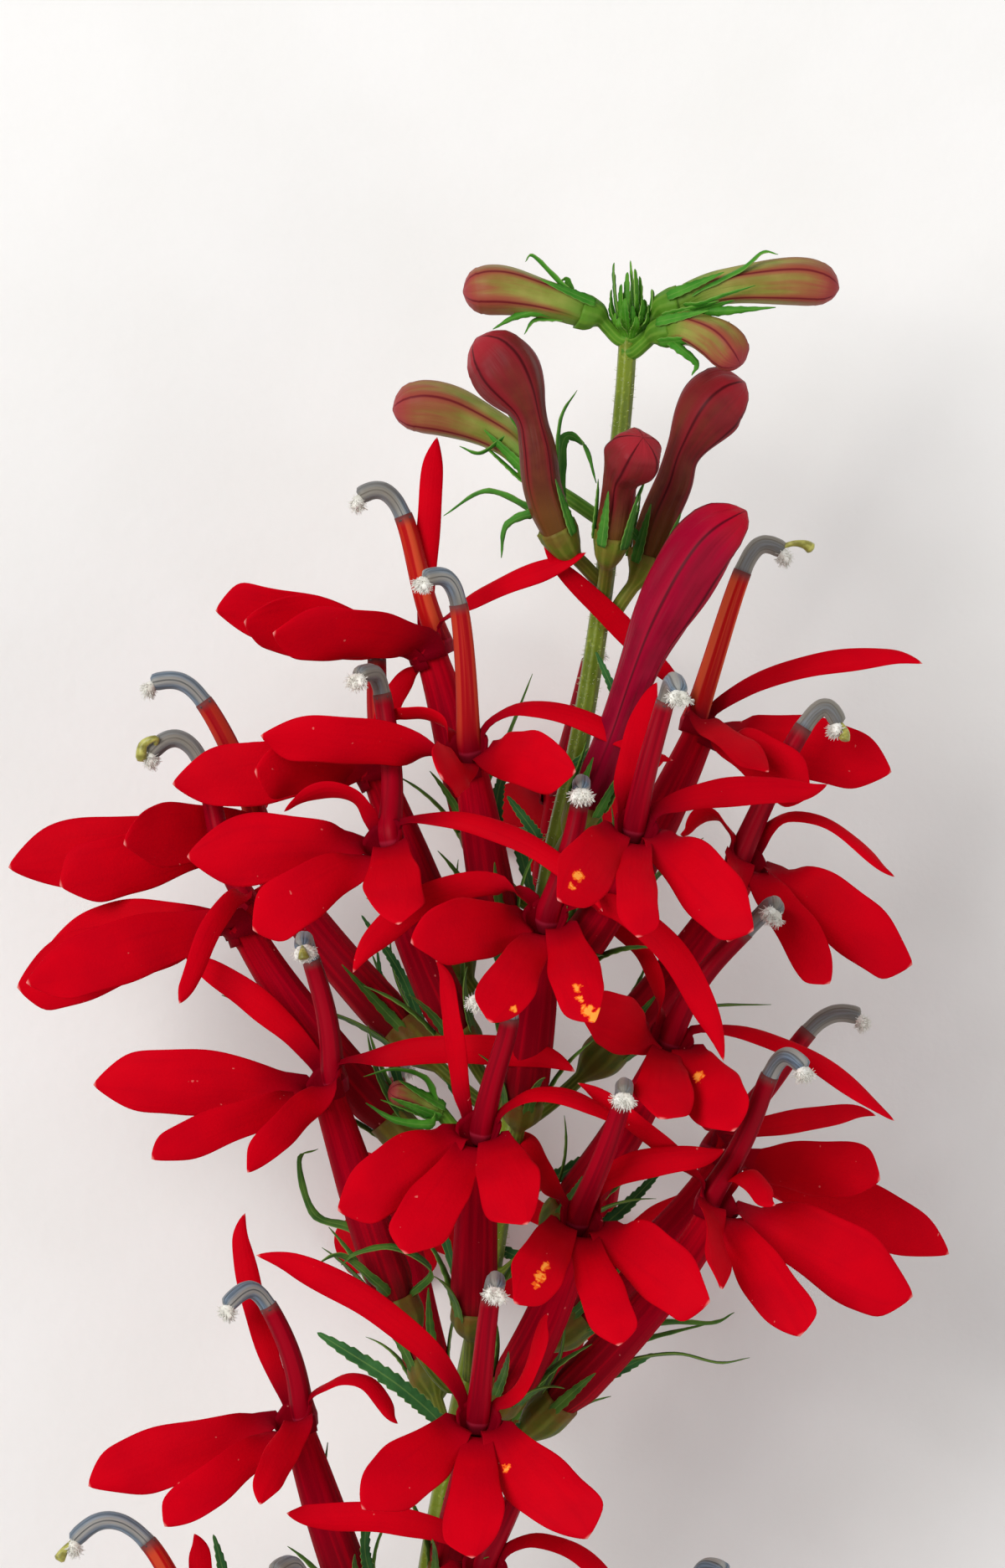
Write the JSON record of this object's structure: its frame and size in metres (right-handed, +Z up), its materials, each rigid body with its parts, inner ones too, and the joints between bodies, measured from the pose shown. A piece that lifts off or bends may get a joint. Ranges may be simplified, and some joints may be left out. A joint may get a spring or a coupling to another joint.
{
  "type": "cardinal flower",
  "caption": "Cut flowering stem of a cardinal flower lying down: red two-lipped flowers with a raised anther column, green calyces and closed buds at the tip.",
  "frame": {"origin": "on the surface the stem lies on, under the middle of the whole piece", "axes": "+Y along the stem from the cut end to the growing tip, +Z up away from the surface, +X to the right seen from above"},
  "size_m": [0.079, 0.19, 0.061],
  "materials": {
    "petal": "fresh cardinal-red petal, velvety with a soft sheen",
    "calyx": "green, finely hairy, soft",
    "stem": "fresh yellow-green stem, finely hairy",
    "bud_green": "yellow-green bud with pink-red ridges, matt",
    "bud_red": "red-brown to crimson bud, soft sheen"
  },
  "bodies": {
    "root": {"stem": "stem", "flower_01": "petal", "flower_02": "petal", "flower_03": "petal", "flower_04": "petal", "flower_05": "petal", "flower_06": "petal", "flower_07": "petal", "flower_08": "petal", "flower_09": "petal", "flower_10": "petal", "flower_11": "petal", "flower_12": "petal", "flower_13": "petal", "flower_14": "petal", "flower_15": "petal", "flower_16": "petal", "flower_17": "petal", "flower_18": "petal", "flower_19": "petal", "flower_20": "petal", "flower_21": "petal", "flower_22": "petal", "flower_23": "petal", "flower_24": "petal", "flower_25": "petal", "calyx_01": "calyx", "calyx_02": "calyx", "calyx_03": "calyx", "calyx_04": "calyx", "calyx_05": "calyx", "calyx_06": "calyx", "calyx_07": "calyx", "calyx_08": "calyx", "calyx_09": "calyx", "calyx_10": "calyx", "calyx_11": "calyx", "calyx_12": "calyx", "calyx_13": "calyx", "calyx_14": "calyx", "calyx_15": "calyx", "calyx_16": "calyx", "calyx_17": "calyx", "calyx_18": "calyx", "calyx_19": "calyx", "calyx_20": "calyx", "calyx_21": "calyx", "calyx_22": "calyx", "calyx_23": "calyx", "calyx_24": "calyx", "calyx_25": "calyx", "bud_1": "bud_green", "bud_2": "bud_green", "bud_3": "bud_green", "bud_4": "bud_red", "bud_5": "bud_green", "bud_6": "bud_green", "bud_7": "bud_red", "bud_8": "bud_red"}
  },
  "joints": []
}
